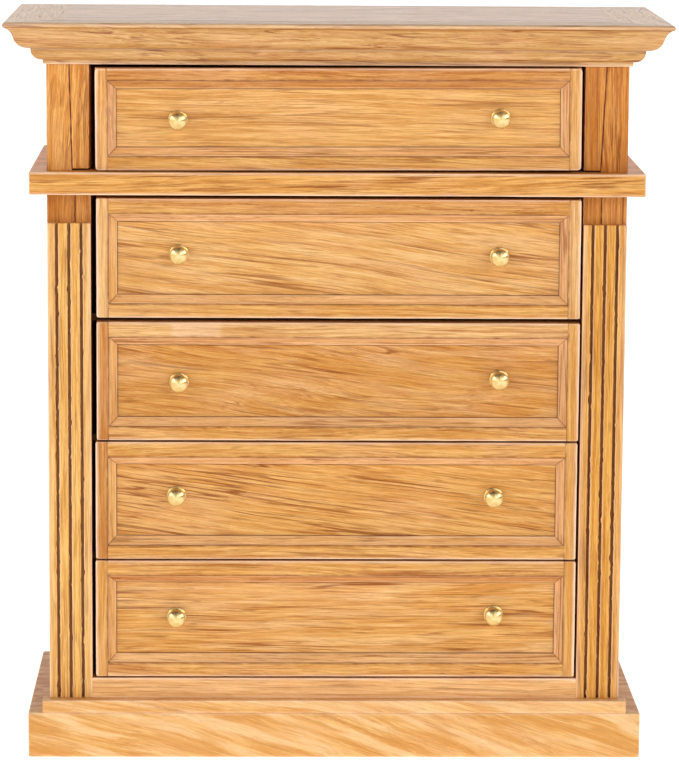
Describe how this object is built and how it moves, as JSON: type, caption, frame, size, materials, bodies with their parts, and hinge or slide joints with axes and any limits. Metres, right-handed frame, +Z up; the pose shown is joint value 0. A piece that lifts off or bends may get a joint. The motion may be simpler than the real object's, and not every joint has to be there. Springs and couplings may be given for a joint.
{
  "type": "miniature chest of drawers",
  "caption": "Dolls' house chest of drawers in light oak, with sliding panelled drawers, turned brass knobs, fluted pilasters, a waist board and a moulded cornice.",
  "frame": {"origin": "centre of the footprint, on the surface the base stands on", "axes": "+X to the object's right as seen from the front, -Y to the front (the way the drawers open), +Z up"},
  "size_m": [0.095, 0.041, 0.1071],
  "materials": {
    "oak_case": "satin varnish",
    "oak_fronts": "satin varnish",
    "oak_inside": "bare",
    "brass": "polished"
  },
  "bodies": {
    "carcass": {"base_slab": "oak_case", "base_strip": "oak_case", "bottom_rail": "oak_case", "bottom_board": "oak_inside", "side_lower_left": "oak_case", "side_lower_right": "oak_case", "side_upper_left": "oak_case", "side_upper_right": "oak_case", "lining_lower_left": "oak_inside", "lining_lower_right": "oak_inside", "lining_upper_left": "oak_inside", "lining_upper_right": "oak_inside", "pilaster_left": "oak_case", "pilaster_right": "oak_case", "waist_board": "oak_case", "dust_board_1": "oak_inside", "dust_board_2": "oak_inside", "dust_board_3": "oak_inside", "top_board": "oak_case", "cornice_front": "oak_case", "cornice_left": "oak_case", "cornice_right": "oak_case", "back_lower": "oak_inside", "back_upper": "oak_inside"},
    "drawer_1": {"drawer_1_front": "oak_fronts", "drawer_1_frame": "oak_fronts", "drawer_1_beading": "oak_fronts", "drawer_1_knobs": "brass", "drawer_1_sides": "oak_inside", "drawer_1_bottom": "oak_inside", "drawer_1_back": "oak_inside"},
    "drawer_2": {"drawer_2_front": "oak_fronts", "drawer_2_frame": "oak_fronts", "drawer_2_beading": "oak_fronts", "drawer_2_knobs": "brass", "drawer_2_sides": "oak_inside", "drawer_2_bottom": "oak_inside", "drawer_2_back": "oak_inside"},
    "drawer_3": {"drawer_3_front": "oak_fronts", "drawer_3_frame": "oak_fronts", "drawer_3_beading": "oak_fronts", "drawer_3_knobs": "brass", "drawer_3_sides": "oak_inside", "drawer_3_bottom": "oak_inside", "drawer_3_back": "oak_inside"},
    "drawer_4": {"drawer_4_front": "oak_fronts", "drawer_4_frame": "oak_fronts", "drawer_4_beading": "oak_fronts", "drawer_4_knobs": "brass", "drawer_4_sides": "oak_inside", "drawer_4_bottom": "oak_inside", "drawer_4_back": "oak_inside"},
    "drawer_5": {"drawer_5_front": "oak_fronts", "drawer_5_frame": "oak_fronts", "drawer_5_beading": "oak_fronts", "drawer_5_knobs": "brass", "drawer_5_sides": "oak_inside", "drawer_5_bottom": "oak_inside", "drawer_5_back": "oak_inside"}
  },
  "joints": [
    {"name": "drawer_1_slide", "type": "slide", "parent": "carcass", "child": "drawer_1", "axis": [0, -1, 0], "range_m": [0, 0.028]},
    {"name": "drawer_2_slide", "type": "slide", "parent": "carcass", "child": "drawer_2", "axis": [0, -1, 0], "range_m": [0, 0.028]},
    {"name": "drawer_3_slide", "type": "slide", "parent": "carcass", "child": "drawer_3", "axis": [0, -1, 0], "range_m": [0, 0.028]},
    {"name": "drawer_4_slide", "type": "slide", "parent": "carcass", "child": "drawer_4", "axis": [0, -1, 0], "range_m": [0, 0.028]},
    {"name": "drawer_5_slide", "type": "slide", "parent": "carcass", "child": "drawer_5", "axis": [0, -1, 0], "range_m": [0, 0.028]}
  ]
}
